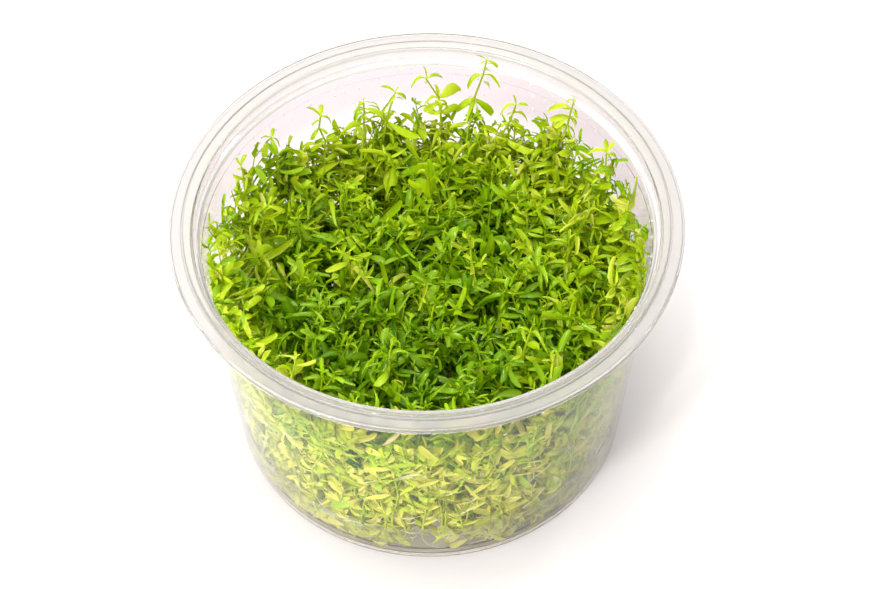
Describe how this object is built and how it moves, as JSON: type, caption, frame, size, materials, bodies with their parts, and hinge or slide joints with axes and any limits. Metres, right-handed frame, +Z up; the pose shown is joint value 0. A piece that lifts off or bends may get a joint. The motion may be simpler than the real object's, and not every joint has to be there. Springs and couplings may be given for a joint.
{
  "type": "pearlweed in a culture cup",
  "caption": "Dense mat of small-leaved aquarium stem plants with taller shoots, rooted in clear nutrient gel in an open clear plastic culture cup with a rolled rim.",
  "frame": {"origin": "Centre of the cup's footprint on the surface it stands on.", "axes": "+Z is up, along the cup's axis and out of its mouth. The front of the cup as pictured faces -Y, and +X is to its right."},
  "size_m": [0.101, 0.101, 0.0615],
  "materials": {
    "clear_plastic": "clear, glossy thermoformed plastic",
    "nutrient_gel": "milky grey clear gel with a wet, smooth surface",
    "leaf_green": "fresh bright green leaf with a soft wet sheen",
    "shoot_green": "paler yellow-green young stem and leaf with a soft sheen"
  },
  "bodies": {
    "root": {"cup": "clear_plastic", "nutrient_gel": "nutrient_gel", "tuft_01": "leaf_green", "tuft_02": "leaf_green", "tuft_03": "leaf_green", "tuft_04": "leaf_green", "tuft_05": "leaf_green", "tuft_06": "leaf_green", "tuft_07": "leaf_green", "tuft_08": "leaf_green", "tuft_09": "leaf_green", "tuft_10": "leaf_green", "tuft_11": "leaf_green", "tuft_12": "leaf_green", "tuft_13": "leaf_green", "tuft_14": "leaf_green", "tuft_15": "leaf_green", "tuft_16": "leaf_green", "tuft_17": "leaf_green", "tuft_18": "leaf_green", "tuft_19": "leaf_green", "tuft_20": "leaf_green", "tuft_21": "leaf_green", "tuft_22": "leaf_green", "tuft_23": "leaf_green", "tuft_24": "leaf_green", "tuft_25": "leaf_green", "tuft_26": "leaf_green", "tuft_27": "leaf_green", "tuft_28": "leaf_green", "tuft_29": "leaf_green", "tuft_30": "leaf_green", "tall_shoot_01": "shoot_green", "tall_shoot_02": "shoot_green", "tall_shoot_03": "shoot_green", "tall_shoot_04": "shoot_green", "tall_shoot_05": "shoot_green", "tall_shoot_06": "shoot_green", "tall_shoot_07": "shoot_green", "tall_shoot_08": "shoot_green", "tall_shoot_09": "shoot_green", "tall_shoot_10": "shoot_green", "tall_shoot_11": "shoot_green", "tall_shoot_12": "shoot_green", "tall_shoot_13": "shoot_green", "tall_shoot_14": "shoot_green", "tall_shoot_15": "shoot_green", "tall_shoot_16": "shoot_green", "tall_shoot_17": "shoot_green", "tall_shoot_18": "shoot_green", "tall_shoot_19": "shoot_green", "tall_shoot_20": "shoot_green", "tall_shoot_21": "shoot_green", "tall_shoot_22": "shoot_green"}
  },
  "joints": []
}
